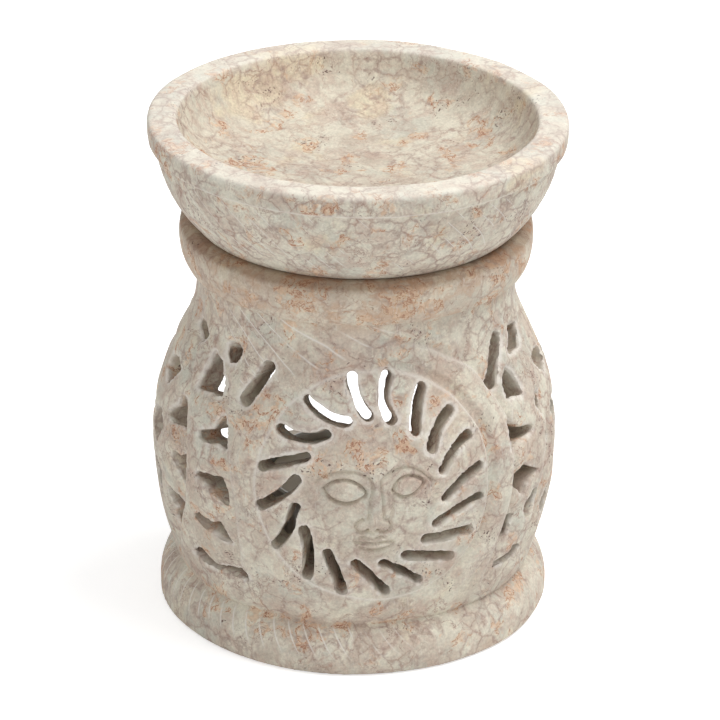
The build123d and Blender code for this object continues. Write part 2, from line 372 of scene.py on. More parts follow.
def rough_out(name, node, voxel, rounds):
    """A copy of a CAD stone on an even grid, its corners worn by rounds of smoothing."""
    piece = add_piece(name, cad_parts[node].data.copy())
    piece.data.materials.clear()
    grid = piece.modifiers.new("grid", "REMESH")
    grid.mode = "VOXEL"
    grid.voxel_size = voxel
    wear = piece.modifiers.new("wear", "SMOOTH")
    wear.factor = 0.5
    wear.iterations = rounds
    bake_modifiers(piece)
    return piece


def thin_out(piece, most_faces):
    """Fewer, larger triangles where the surface is plain, down to this many."""
    faces = sum(len(face.vertices) - 2 for face in piece.data.polygons)
    if faces > most_faces:
        thin = piece.modifiers.new("thin", "DECIMATE")
        thin.ratio = most_faces / faces
        bake_modifiers(piece)


def finish_stone(piece, material):
    piece.data.materials.clear()
    piece.data.materials.append(material)
    piece.data.polygons.foreach_set("use_smooth", [True] * len(piece.data.polygons))
    piece.data.set_sharp_from_angle(angle=SHARP_CORNER)
    piece.data.update()


def turned_profile():
    """Heights up the CAD body, and its outer radius at each."""
    bm = bmesh.new()
    bm.from_mesh(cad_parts["pierced_body"].data)
    tree = BVHTree.FromBMesh(bm)
    bm.free()
    out = Vector((sin(PLAIN_BEARING), -cos(PLAIN_BEARING), 0))
    heights = np.linspace(0.2, BODY_TOP, 420)
    radii = []
    for height in heights:
        start = out * 0.2 + Vector((0, 0, height * MM))
        hit = tree.ray_cast(start, -out)[0]
        if hit is None:
            raise RuntimeError(f"the body has no stone at height {height}")
        radii.append(Vector((hit.x, hit.y)).length / MM)
    return heights, radii


def lumps(points, size, seed):
    """Smooth unevenness between about -1 and 1, made of a few crossed waves."""
    random = np.random.default_rng(seed)
    total = np.zeros(len(points))
    for _ in range(14):
        way = random.normal(size=3)
        way /= np.linalg.norm(way)
        total += np.sin(points @ way * (tau / size) * random.uniform(0.6, 1.6) + random.uniform(0, tau))
    return total / 3.5


def curve_through(corners):
    """Points of a smooth line through these corners."""
    corners = np.array(corners, float)
    padded = np.vstack([2 * corners[0] - corners[1], corners, 2 * corners[-1] - corners[-2]])
    shares = np.linspace(0, 1, 6, endpoint=False)[:, None]
    runs = []
    for before, start, end, after in zip(padded, padded[1:], padded[2:], padded[3:]):
        runs.append(
            0.5 * (
                2 * start + (end - before) * shares
                + (2 * before - 5 * start + 4 * end - after) * shares**2
                + (3 * start - before - 3 * end + after) * shares**3
            )
        )
    return np.vstack([*runs, corners[-1:]])


def distance_to(places, line):
    """Distance from each place to a line given by its points."""
    nearest = np.full(len(places), np.inf)
    for start, end in zip(line[:-1], line[1:]):
        run = end - start
        share = np.clip((places - start) @ run / max(run @ run, 1e-9), 0, 1)
        gap = places - start - share[:, None] * run
        nearest = np.minimum(nearest, np.hypot(gap[:, 0], gap[:, 1]))
    return nearest


# The sun's carved lines: how deep each one is, and its places right of and above the sun's centre
FACE_LINES = {
    "left eye": (0.8, [
        (-9.6, 1.5), (-7.6, 2.9), (-5.1, 3.3), (-2.8, 2.5), (-1, 0.6), (-3, -0.9), (-5.4, -1.4),
        (-8, -0.4), (-9.6, 1.5),
    ]),
    "right eye": (0.8, [
        (4.3, 1), (5.4, 2.7), (7.2, 3.6), (9.2, 3.4), (10.9, 2.3), (9.6, 0.7), (8.2, -0.2), (6.2, -0.4),
        (4.3, 1),
    ]),
    "left brow": (0.48, [
        (-11.2, 2.6), (-10.2, 3.7), (-7.8, 4.7), (-5.2, 5.1), (-2.5, 4.8), (-0.2, 3.6), (0.3, 1.6),
        (-0.2, -1), (-0.3, -3.6), (-0.6, -5),
    ]),
    "right brow": (0.48, [
        (13.8, 1.8), (11.9, 2.9), (10.5, 4.2), (8.5, 5.4), (6, 5.5), (3.6, 4.6), (2, 3.2), (1.9, 1.4),
        (2.3, -1.2), (2.4, -3.8), (2.6, -5.2),
    ]),
    "left nostril": (0.6, [
        (-1.6, -4.9), (-2.7, -5.6), (-3.1, -6.5), (-2.6, -7.4), (-1.6, -7.6), (-0.6, -7.2),
    ]),
    "right nostril": (0.6, [(3.2, -5.2), (3.9, -6.2), (3.7, -7.2), (2.9, -7.8), (2, -7.6), (1.3, -7.1)]),
    "nose tip": (0.45, [(-0.6, -7.2), (0.3, -7.8), (1.3, -7.1)]),
    "cheek fold": (0.35, [(4.4, 0.6), (4.7, -1.4), (4.2, -3.6), (3.6, -5)]),
    "upper lip": (0.5, [(-3.4, -9.7), (-1.6, -8.9), (0.4, -9.3), (2.2, -8.9), (4.6, -10.1)]),
    "mouth": (0.6, [(-3, -10.2), (-1, -10), (0.5, -10.2), (2.4, -10), (4.4, -10.4)]),
    "lower lip": (0.5, [(-2.2, -11.1), (0.2, -11.7), (2.6, -11.5), (4.3, -10.9)]),
    "chin": (0.2, [(-1.6, -13), (0.8, -13.6), (3.2, -13)]),
}


def blob(places, middle, half_width, half_height, turn=0.0):
    """A dome of height 1 with an oval foot."""
    x, y = (places - middle).T
    along = x * cos(turn) + y * sin(turn)
    across = -x * sin(turn) + y * cos(turn)
    return np.clip(1 - (along / half_width) ** 2 - (across / half_height) ** 2, 0, 1) ** 0.7


def face_relief(places):
    """The carved face: its height over the stone as a share of the relief, and where its lines run."""
    height = np.full(len(places), -0.35)
    groove = np.zeros(len(places))
    ridge = curve_through([(1, 4.6), (1, 1.5), (1, -2), (1, -5)])
    height += 0.6 * hill(distance_to(places, ridge), 1.3)
    height += 0.7 * blob(places, (0.9, -5.9), 2.0, 2.1)
    height += 0.45 * blob(places, (-1.9, -6.4), 1.3, 1.4)
    height += 0.45 * blob(places, (2.9, -6.4), 1.3, 1.4)
    for middle, half_width, turn in (((-5.3, 0.9), 4.3, -0.12), ((7.5, 1.6), 3.2, 0.12)):
        height -= 0.35 * hill(np.hypot(*((places - middle) / (half_width * 1.3, 3.4)).T), 1.0)
        height += 0.8 * blob(places, middle, half_width, 2.1, turn)
    for brow, corners in (("left brow", 6), ("right brow", 7)):
        ridge = curve_through(FACE_LINES[brow][1][:corners]) + (0, 0.7)
        height += 0.35 * hill(distance_to(places, ridge), 0.8)
    height += 0.5 * blob(places, (0.6, -9.5), 3.9, 0.9)
    height += 0.55 * blob(places, (0.8, -10.9), 3.1, 0.9)
    height += 0.25 * blob(places, (0.8, -13.4), 3.2, 1.8)
    for depth, line in FACE_LINES.values():
        gap = distance_to(places, curve_through(line))
        height += 0.3 * depth * hill(gap - 0.7, 0.35) - 1.2 * depth * hill(gap, 0.30)
        groove = np.maximum(groove, depth * hill(gap, 0.32))
    return height, groove


# The groove round the rays and the medallion's rim, as (degrees round the sun, distance) of its edge
RAY_CIRCLE = [(-180, 24.2), (-160, 23.8), (-130, 24.2), (-100, 23.9), (-73, 25), (-50, 26.2), (-25, 26.2),
              (0, 25.7), (22, 26.8), (40, 26.3), (65, 24.5), (90, 23.5), (112, 24), (140, 24.9),
              (180, 24.2)]
MEDALLION = [(-180, 29), (-120, 29), (-60, 31.5), (-25, 33.4), (0, 33), (16, 34.8), (37, 34.3),
             (50, 31.6), (80, 29.5), (120, 29.5), (180, 29)]


def carve_sun(across, up):
    """Depth that the engraving round the sun takes off, and how fresh its cut looks."""
    distance = np.hypot(across, up)
    turn = np.degrees(np.arctan2(up, across))
    circle = distance - np.interp(turn, *np.array(RAY_CIRCLE).T)
    rim = distance - np.interp(turn, *np.array(MEDALLION).T)
    right = soft_step(-100, -30, turn) * (1 - soft_step(70, 110, turn))
    groove = soft_step(0.0, 0.3, circle) * (1 - soft_step(1.4, 2.8, circle))
    depth = 0.3 * hill(circle, 0.35) + (0.15 + 0.85 * right) * groove
    rim_strength = 0.25 + 0.75 * soft_step(-60, 0, turn) * (1 - soft_step(60, 90, turn))
    depth += 0.8 * rim_strength * soft_step(-0.2, 0.3, rim) * (1 - soft_step(0.3, 3.2, rim))
    fresh = hill(circle, 0.35) + 0.8 * rim_strength * hill(rim, 0.35)
    return depth, fresh


def carve_front(across, up, surface, relief):
    """How far the sun and its face move the surface, how fresh their cuts look and where the lines run."""
    from_sun = np.hypot(across, up)
    move, fresh, groove = np.zeros((3, len(across)))
    near_sun = (from_sun < SUN_REACH) & (surface > 0)
    depth, fresh[near_sun] = carve_sun(across[near_sun], up[near_sun])
    move[near_sun] -= depth
    on_face = (from_sun < FACE_REACH) & (surface > 0)
    edge = 1 - soft_step(12.5, 15.2, from_sun[on_face])
    height, lines = face_relief(np.column_stack([across, up])[on_face])
    move[on_face] += height * relief * edge
    groove[on_face] = lines * edge
    return move, fresh, groove


def true_walls(piece, profile):
    """Trues the barrel's surface, draws the chamber's wall in and leaves the openings' walls rough."""
    points = read_points(piece)
    radius, bearing = polar(points)
    level = points[:, 2]
    inset = np.interp(level, *profile) - radius
    on_barrel = (level > BARREL_BOTTOM) & (level < BARREL_TOP)
    radius += inset * np.where(on_barrel, 1 - soft_step(0.06, 0.4, inset), 0.0)
    degrees = np.degrees(bearing)
    chamber = soft_step(3.2, 5.2, inset) * soft_step(18, 20, level) * (1 - soft_step(63, 67, level))
    by_slant = soft_step(-52, -46, degrees) * (1 - soft_step(-38, -30, degrees)) * soft_step(46, 52, level)
    radius -= (CHAMBER_WALL + SLANT_WALL * by_slant) * chamber * (points[:, 1] < 20)
    set_polar(points, radius, bearing)
    write_points(piece, points)
    roughen_openings(piece, inset)


def carve_body(settings):
    """Works relief, softened fretwork and unevenness into the body's surface."""
    piece = rough_out("carved_body", "pierced_body", settings.voxel, 1)
    profile = turned_profile()
    true_walls(piece, profile)
    refine_face(piece)

    points = read_points(piece)
    radius, bearing = polar(points)
    level = points[:, 2]
    degrees = np.degrees(bearing)
    inset = np.interp(level, *profile) - radius
    surface = (1 - soft_step(0.5, 1.8, inset)) * (inset > -1)
    across = bearing * BELLY_RADIUS
    up = level - SUN_HEIGHT
    move, fresh, groove = carve_front(across, up, surface, settings.relief / MM)

    gap = edge_distance(points, inset)
    panels = fretwork_share(degrees, level)
    depth, cut = cut_back(degrees, level)
    move -= depth * panels
    fresh = np.maximum(fresh, 0.6 * cut * panels)
    rounding = np.clip(1 - gap / 2.0, 0, 1) ** 2
    move -= 0.5 * rounding * panels
    move -= 0.12 * np.clip(1 - gap / 0.6, 0, 1) ** 2 * (1 - panels)
    move -= 0.45 * hill(level - FOOT_CREASE, 0.45)
    move += lumps(points, 26, 3) * settings.unevenness / MM
    move += lumps(points, 9, 5) * 0.35 * settings.unevenness / MM * (0.4 + panels)

    move = np.minimum(move * surface, BELLY_RADIUS + PROUD - radius)
    set_polar(points, radius + move, bearing)
    write_points(piece, points)
    store(piece, "fresh_cut_and_highlight", fresh * surface)
    store(piece, "edge_wear_and_highlight", hill(gap - 0.15, 0.38) * surface)
    store(piece, "groove", groove * surface)
    store(piece, "rubbed", 0.8 * (1 - soft_step(12, 17, np.hypot(across, up))) * surface)
    # Soot and painted shade deep inside the chamber, and a painted shadow of the bowl on the ring's top,
    # darker to the left
    deep_soot_and_shade = 0.5 * soft_step(7.5, 11, inset) * soft_step(40, 60, level)
    bowl_shadow = 0.32 * soft_step(79.8, 82.6, level) * (1 - 0.45 * soft_step(-30, 30, degrees))
    bowl_shadow += 0.6 * soft_step(82.0, 83.3, level)
    store(piece, "soot_and_shade", np.maximum(deep_soot_and_shade, bowl_shadow))
    thin_out(piece, BODY_FACES)
    return piece


def roughen_openings(piece, inset):
    """Leaves the unevenness of hand sawing on the walls of the openings."""
    points = read_points(piece)
    normals = read(piece, "normal")
    outward = np.abs((normals[:, :2] * points[:, :2]).sum(axis=1)) / polar(points)[0]
    wall = (1 - soft_step(0.35, 0.85, outward)) * (1 - soft_step(5.5, 6.5, inset))
    wall *= soft_step(13.0, 14.5, points[:, 2]) * (1 - soft_step(68, 70, points[:, 2]))
    rough = lumps(points, 6.0, 17) * 0.18 + lumps(points, 2.6, 19) * 0.07
    write_points(piece, points + normals * (rough * wall)[:, None])


def refine_face(piece):
    """Halves the grid on the sun's face, where the finest carving is."""
    bm = bmesh.new()
    bm.from_mesh(piece.data)
    close = []
    for edge in bm.edges:
        middle = (edge.verts[0].co + edge.verts[1].co) / (2 * MM)
        if middle.y < -36 and abs(middle.x) < 15 and abs(middle.z - SUN_HEIGHT) < FACE_REACH:
            close.append(edge)
    bmesh.ops.subdivide_edges(bm, edges=close, cuts=1, use_grid_fill=True)
    bm.to_mesh(piece.data)
    bm.free()


def edge_distance(points, inset):
    """Distance from each point of the outer surface to the wall of the nearest opening."""
    walls = points[(inset > DEEPEST_OPENING_EDGE) & (inset < DEEPEST_OPENING_EDGE + 0.6)]
    walls = walls[(walls[:, 2] > BARREL_BOTTOM + 2) & (walls[:, 2] < BARREL_TOP - 3)]
    tree = KDTree(len(walls))
    for index, wall in enumerate(walls):
        tree.insert(wall, index)
    tree.balance()
    gap = np.full(len(points), 9.0)
    shallow = np.flatnonzero((inset < DEEPEST_OPENING_EDGE) & (points[:, 2] > 12) & (points[:, 2] < 72))
    for index in shallow:
        gap[index] = tree.find(points[index])[2]
    return np.where(gap < 9, np.sqrt(np.clip(gap**2 - (DEEPEST_OPENING_EDGE - inset) ** 2, 0, None)), 9.0)


# Lines that each side panel is cut back behind, as (degrees from the sun's middle, height) from the top
LEFT_EDGES = (
    [(57, 65.1), (54, 63.4), (50, 59.5), (47, 55.4), (43, 46.4), (40, 36.4), (39, 24.7), (40, 15.8)],
    [(76, 67.1), (73, 62.6), (70, 59.8), (64, 51.4), (60, 42.2), (60, 30.9), (67, 20.9), (72, 15)],
    [(96, 66), (93, 58), (88, 48), (87, 36), (90, 24), (95, 15)],
)
RIGHT_EDGES = (
    [(60, 65), (57, 62.8), (52, 57.2), (49, 49.6), (48, 45.6), (46, 35.2), (42, 27.3), (38, 17)],
    [(76, 66), (71, 59.8), (71, 54.9), (69, 50.2), (67, 41.8), (63, 33), (58, 24), (55, 15)],
    [(94, 66), (90, 57), (87, 47), (86, 36), (83, 26), (80, 15)],
)


def cut_back(degrees, height):
    """Depth that the panels are cut back behind their edges and ribs, and how fresh those edges look."""
    depth = np.zeros(len(height))
    fresh = np.zeros(len(height))
    for side, edges in ((-1, LEFT_EDGES), (1, RIGHT_EDGES)):
        aside = np.where(degrees * side > 0, np.abs(degrees), -1.0)
        mirrored = np.where(degrees * side > 0, 180 - np.abs(degrees), -1.0)
        for way in (aside, mirrored):
            for drop, edge in zip((0.45, 1.1, 1.0), edges):
                line = np.array(edge[::-1])
                behind = (way - np.interp(height, *line.T[::-1])) * radians(1) * BELLY_RADIUS
                step = soft_step(-0.2, 0.45, behind) * (1 - soft_step(1.5, 9.0, behind))
                there = (way > 0) & (way < 90)
                depth = np.maximum(depth, drop * step * there)
                fresh = np.maximum(fresh, hill(behind + 0.1, 0.3) * there)
    return depth, fresh


def fretwork_share(degrees, height):
    """1 in the four side panels, fading to 0 at the sun, the doorway, the neck and the foot."""
    aside = np.abs(degrees)
    around = soft_step(34, 39, aside) * (1 - soft_step(139, 143, aside))
    return around * soft_step(13, 16, height) * (1 - soft_step(66, 70, height))


def turn_bowl(settings):
    """Wears the bowl's corners and leaves the lathe's and the hand's unevenness on it."""
    piece = rough_out("turned_bowl", "oil_bowl", settings.voxel, 2)
    points = read_points(piece)
    normals = read(piece, "normal")
    free = soft_step(84.2, 85.5, points[:, 2])
    wave = lumps(points, 30, 11) * 0.8 + lumps(points, 10, 13) * 0.3
    side = soft_step(85, 87, points[:, 2]) * (1 - soft_step(99.5, 100.5, points[:, 2]))
    rings = np.sin(points[:, 2] * tau / 1.9) * 0.025 * side
    points += normals * ((wave * settings.unevenness / MM - 0.05) * free + rings)[:, None]
    limit = np.minimum(1, BOWL_RADIUS / np.maximum(polar(points)[0], 1))
    points[:, :2] *= limit[:, None]
    points[:, 2] = np.minimum(points[:, 2], BOWL_TOP)
    write_points(piece, points)
    radius = polar(points)[0]
    # A painted highlight along the band's lower edge
    store(piece, "fresh_cut_and_highlight", hill(points[:, 2] - BAND_STEP, 0.3) * soft_step(40.4, 41.0, radius))
    # A painted highlight over the rim's flat top
    store(piece, "edge_wear_and_highlight", 0.4 * soft_step(103.8, 105.0, points[:, 2]))
    store(piece, "rubbed", (1 - soft_step(33.5, 36.5, radius)) * (points[:, 2] > 92))
    store(piece, "groove", np.zeros(len(points)))
    # Darkens the dish a little with the same colour
    store(piece, "soot_and_shade", 0.16 * (radius < 36) * (points[:, 2] > 92))
    thin_out(piece, BOWL_FACES)
    return piece


def lathe(name, rows, segments, shape, middle):
    """A turned mesh of rows of (radius, height), up its outside first, whose radius a shape changes."""
    angles = np.arange(segments) * tau / segments
    vertices, faces, rings = [], [], []
    for index, (radius, height) in enumerate(rows):
        first = len(vertices)
        if radius == 0:
            rings.append([first] * segments)
            vertices.append((middle[0] * MM, middle[1] * MM, height * MM))
            continue
        rings.append(range(first, first + segments))
        radii = radius + shape(index, angles)
        around = zip(middle[0] + radii * np.sin(angles), middle[1] - radii * np.cos(angles))
        vertices += [(x * MM, y * MM, height * MM) for x, y in around]
    for low, high in zip(rings, rings[1:]):
        for step in range(segments):
            after = (step + 1) % segments
            corners = (low[step], low[after], high[after], high[step])
            faces.append(tuple(dict.fromkeys(corners)))
    mesh = bpy.data.meshes.new(name)
    mesh.from_pydata(vertices, [], faces)
    mesh.polygons.foreach_set("use_smooth", [True] * len(mesh.polygons))
    return add_piece(name, mesh)


def turned_size(node):
    """A turned CAD piece's middle, radius, bottom and top, in millimetres."""
    low, high = (np.array(corner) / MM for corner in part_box(node))
    return (low[:2] + high[:2]) / 2, (high[0] - low[0]) / 2, low[2], high[2]


# Finishes

# Stains that lie where a maker would know this stone by them, as (x, y, z, reach) in millimetres
BODY_STAINS = {
    "rust": [
        (-19.4, -32.5, 53.8, 6.5), (-21.5, -28.9, 58, 3.5), (-9, -38.9, 48.4, 5), (-0.2, -39.2, 50.4, 7),
        (5.5, -38.3, 51.8, 5), (-13.6, -32.9, 81.7, 5), (6.6, -35.1, 80.6, 7), (26.4, -22.5, 82.5, 8),
        (20.3, -29.8, 57.8, 3), (7.1, -31.7, 68.3, 3.5), (-15.2, -28.3, 71.7, 3),
    ],
    "speck": [
        (-11.7, -38.5, 46.5, 2.4), (-9.3, -39.1, 47, 2.4), (-6.3, -39.6, 47.3, 2.4),
        (-1, -40.2, 46.6, 2.8), (2.8, -40, 47.6, 3), (11.9, -38.5, 46.2, 1.8),
    ],
    "blush": [(-3.1, -38, 53.2, 9), (14, -33, 62, 9), (-4, -32, 67, 12)],
    "honey": [(-37, -16, 5, 8)],
    "clear": [(1.3, -41.2, 37.5, 13)],
}
BOWL_STAINS = {
    "rust": [
        (-39.7, -13.5, 104.1, 9), (-21.3, 1, 94.5, 6.5), (-25.6, 15.1, 96.3, 4.5),
        (14.3, 17, 94.6, 4), (25.2, -30.6, 96.2, 4), (-8.6, -41.1, 103.6, 3),
        (35.5, -19.5, 105.2, 5.5),
    ],
    "speck": [(-22, 4, 94.8, 3)],
    "blush": [(-5.4, 26.9, 95.4, 7)],
    "honey": [(-18.8, 26.3, 98.2, 10), (-9, 34.3, 103.6, 8), (5, 28.1, 95.8, 7)],
    "clear": [(0, -20, 94, 12)],
}


class Soapstone(Coat):
    """Veined soapstone, laid on colour by colour, from its clouds to its dust, soot, painted highlights and
    painted shade.
    """

    def __init__(self, name, stains):
        super().__init__(name)
        self.stone = bpy.context.scene.burner_stone
        self.stains = stains
        self.colour = self.stone.ground
        drift = self.noise(self.spot, 6, 4, "Color") - 0.5
        self.bent = self.spot + drift * 6
        self.frayed = self.spot + drift * 2.5
        self.crumpled = self.spot + drift * 5 + (self.noise(self.spot, 1.8, 3, "Color") - 0.5) * 1.8
        self.clear = self.around(self.spot, stains["clear"])
        self.rubbed = self.own("rubbed")
        self.mottle = self.noise(self.spot, 0.5, 4, roughness=0.6)
        self.smudge = self.noise(self.crumpled, 2, 5, roughness=0.68)

    def lay(self, share, colour):
        """Covers the colours so far with another one, by this share."""
        self.colour = self.mix(share, self.colour, colour)

    def near(self, kind):
        """1 in the middle of the stains of this kind, with frayed edges."""
        return self.around(self.frayed, self.stains[kind])

    def bearing_and_height(self):
        """Degrees round the axis from the sun's middle, positive to its right, and the height."""
        x = self.node("ShaderNodeSeparateXYZ", {}, {0: self.spot})
        return self.arc(x, 0 - x.beside("Y")), x.beside("Z")

    def hatching(self, along, pitch, width, unevenness):
        """Thin scored lines at every pitch of a running value."""
        wander = (self.noise(self.spot, 22, 1) - 0.5) * unevenness
        share = self.node("ShaderNodeMath", {"operation": "FRACT"}, {0: along / pitch + wander + 50})
        return self.fade(abs(share - 0.5), width / pitch, 0)

    def cloud(self, creaminess):
        """Lays cream, cool and honey clouds, and the pink haze."""
        clouds = self.noise(self.bent, 9, 7, roughness=0.62)
        edge = 0.5 - creaminess
        self.lay(self.fade(clouds, edge - 0.09, edge + 0.09), self.stone.cream)
        cool = self.patches(self.bent + 40, 11, 6, 0.5, 0.62, roughness=0.6)
        self.lay(cool * 0.55, self.stone.cool)
        honey = self.noise(self.bent + 130, 14, 4) + self.near("honey") * 0.16
        self.lay(self.fade(honey, 0.56, 0.68) * (0.25 + creaminess * 5), self.stone.honey)
        haze = self.noise(self.crumpled + 20, 4.5, 7, roughness=0.66)
        self.blush = self.fade(haze + self.near("blush") * 0.1 - self.clear * 0.06, 0.49, 0.63)
        self.lay(self.blush * 0.4, self.stone.blush)

    def vein(self, cell, outlines):
        """Lays outlines of pebbles and crumbs, and long veins, with a halo and blotches."""
        swelling = 0.3 + self.noise(self.spot + 31, 1.8, 3) * 1.4
        pebbles = self.cells(self.crumpled, cell, "DISTANCE_TO_EDGE") / swelling
        pebbly = self.patches(self.spot + 70, 10, 5, 0.38, 0.54)
        crumbs = self.cells(self.crumpled + 15, cell * 0.42, "DISTANCE_TO_EDGE") / swelling
        crumbly = self.patches(self.spot + 90, 6, 5, 0.51, 0.63)
        pebble_line = self.fade(pebbles, 0.085, 0) * pebbly * 0.5
        crumb_line = self.fade(crumbs, 0.09, 0) * crumbly * 0.34
        network = self.larger(pebble_line, crumb_line) * (1 - self.rubbed * 0.45) * outlines
        winding = self.noise(self.bent + 9, 8, 6, roughness=0.6)
        long_vein = self.seam(winding, 0.5, 0.009) * self.patches(self.spot + 12, 8, 4, 0.44, 0.56)
        self.veins = self.larger(network, long_vein * 0.8 * (1 - self.rubbed * 0.5))
        halo = self.larger(self.fade(pebbles, 0.24, 0) * pebbly, self.seam(winding, 0.5, 0.035))
        self.lay(halo * 0.25, self.stone.blush)
        blotch = self.patches(self.spot + 44, 1.4, 4, 0.5, 0.6, roughness=0.65)
        blotch = blotch * self.larger(self.fade(pebbles, 0.26, 0.05) * pebbly, self.blush * 0.35)
        self.lay(blotch * 0.5, self.stone.smoke)
        tone = self.patches(self.spot + 33, 5, 3, 0.5, 0.62) * 0.6
        self.lay(self.veins, self.mix(tone, self.stone.vein, self.stone.rust))

    def rust(self, warmth):
        """Lays rusty cracks inside orange stains."""
        rusty = self.noise(self.bent + 55, 5.5, 6) + warmth * 0.03 - self.clear * 0.12
        rusty = self.fade(rusty + self.near("rust") * 0.19, 0.56, 0.65)
        crack = self.noise(self.bent + 61, 3.4, 5, roughness=0.6)
        bloom = self.patches(self.crumpled + 18, 1.6, 4, 0.47, 0.58) * 0.45
        bloom = self.larger(bloom, self.seam(crack, 0.5, 0.06) * 0.55)
        self.lay(bloom * rusty, self.stone.orange)
        self.lay(self.seam(crack, 0.5, 0.021) * rusty * 0.95, self.stone.rust)

    def speck(self):
        """Lays small dark grains."""
        grain = self.cells(self.crumpled, 0.8, "F1")
        dotted = self.noise(self.bent + 5, 8, 5) + self.near("speck") * 0.3 - self.clear * 0.1
        self.lay(self.fade(grain, 0.34, 0.16) * self.fade(dotted, 0.58, 0.66) * 0.9, self.stone.speck)

    def work(self, scratches, warmth):
        """Lays the dust of cuts and scratches with painted highlights, painted shade in the face's lines, soot
        and painted shade, and dulls the surface.
        """
        self.colour = self.colour * (0.5 + self.mottle * 0.62 + self.smudge * 0.38 - self.rubbed * 0.04)
        self.lay(warmth * (0.16 + self.blush * 0.35), self.stone.sienna)
        slanted = {"Vector": self.spot, "Rotation": (0.6, 0.5, 0), "Scale": (1, 1, 0.12)}
        rasped = self.patches(self.node("ShaderNodeMapping", {}, slanted), 0.4, 2, 0.6, 0.7)
        rasped = rasped * self.patches(self.spot + 77, 7, 3, 0.46, 0.6) * 0.32
        # Pale fresh cuts and worn edges, with painted highlights on the bowl's band step and rim top
        cut = self.larger(self.own("fresh_cut_and_highlight") * 0.6, self.own("edge_wear_and_highlight") * 0.7)
        self.lay(self.larger(cut, self.larger(scratches * 0.7, rasped)), self.stone.dust_and_highlight)
        # Painted shade in the face's carved lines
        self.lay(self.own("groove") * 0.12, self.stone.groove_shade)
        # Soot and painted shade: the bowl's painted shadow on the ring's top, and shade deep in the chamber
        soot_and_shade = self.own("soot_and_shade") * (0.45 + self.smudge * 0.6)
        self.lay(soot_and_shade, self.colour * tuple(self.stone.soot_and_shade))
        bumps = self.noise(self.spot, 0.7, 5) * 0.8 + self.smudge * 0.7 - self.veins * 0.2
        self.connect(self.surface, {
            "Base Color": self.colour,
            "Roughness": 0.6 + 0.25 * self.mottle,
            "Normal": self.relief(bumps - scratches * 0.9 - rasped * 0.8, 0.14, 0.6),
            "Specular IOR Level": 0.35,
        })


def soapstone(name, cell, outlines, creaminess, stains, hatch):
    """A stone with cells of this width, whose hatch gives its scored lines and its warmer band."""
    stone = Soapstone(name, stains)
    scratches, warmth = hatch(stone)
    stone.cloud(creaminess)
    stone.vein(cell / MM, outlines)
    stone.rust(warmth)
    stone.speck()
    stone.work(scratches, warmth)
    return stone.owner


def body_hatch(stone):
    """Scored lines below the ring and on the foot, stronger to the left of the sun, and the ring's warmth."""
    degrees, height = stone.bearing_and_height()
    broken = stone.patches(stone.spot, 7, 3, 0.34, 0.46)
    fan = stone.arc(122 - height, degrees * 0.6 + 110)
    neck = stone.hatching(fan, 1.9, 0.17, 1.6) * stone.fade(degrees, -62, -50)
    neck = neck * stone.fade(height - degrees * 0.25, 68, 70.5) * stone.fade(height, 74.4, 73)
    foot = stone.hatching(degrees + (height - 6) * (degrees * 0.012 + 1.2), 5, 0.5, 0.6)
    foot = foot * stone.fade(height, 3, 6.5) * stone.fade(height, 10, 9)
    left = stone.fade(degrees, 22, -6) * 0.9 + 0.1
    return stone.larger(neck, foot) * broken * left, stone.fade(height, 71, 75.5)


def bowl_hatch(stone):
    """Faint slanted scratches on the bowl's side, which has no warmer band."""
    degrees, height = stone.bearing_and_height()
    lines = stone.hatching(degrees + (height - 92) * 1.4, 5.4, 0.4, 1.2)
    broken = stone.patches(stone.spot, 6, 3, 0.46, 0.56)
    side = stone.fade(height, 86, 88) * stone.fade(height, 101, 99)
    return lines * broken * side * (1 - stone.rubbed) * 0.9, 0


def sheet_metal(name, colour, roughness):
    """Thin rolled sheet with fine draw marks and faint dents."""
    finish = Coat(name)
    drawn = finish.noise(finish.spot * (1, 1, 0.12), 0.5, 3)
    dents = finish.noise(finish.spot, 4, 2)
    finish.connect(finish.surface, {
        "Base Color": finish.mix(drawn * 0.25, colour, (0.45, 0.46, 0.47)),
        "Metallic": 1,
        "Roughness": roughness + 0.18 * drawn,
        "Normal": finish.relief(drawn * 0.3 + dents, 0.05, 0.4),
    })
    return finish.owner


def candle_wax(colour):
    """Cast wax: waxy gloss, faint cooling mottle and pinholes."""
    finish = Coat("candle_wax")
    mottle = finish.noise(finish.spot, 5, 4)
    pits = finish.fade(finish.cells(finish.spot, 1.6, "F1"), 0.16, 0.06)
    finish.connect(finish.surface, {
        "Base Color": finish.mix(mottle * 0.3, colour, (0.94, 0.92, 0.87)),
        "Roughness": 0.32 + 0.2 * mottle,
        "Normal": finish.relief(mottle - pits * 0.4, 0.1, 0.5),
        "Subsurface Weight": 0.25,
        "Subsurface Radius": (0.006, 0.004, 0.003),
        "Subsurface Scale": 0.5,
    })
    return finish.owner


def cotton(colour):
    """Waxed cotton yarn: fibres along a twist."""
    finish = Coat("wick_cotton")
    fibres = finish.noise(finish.spot * (1, 1, 0.3), 0.18, 3)
    finish.connect(finish.surface, {
        "Base Color": finish.mix(fibres, colour, (0.92, 0.89, 0.82)),
        "Roughness": 0.7 + 0.2 * fibres,
        "Normal": finish.relief(fibres, 0.08, 0.8),
    })
    return finish.owner


# Operators


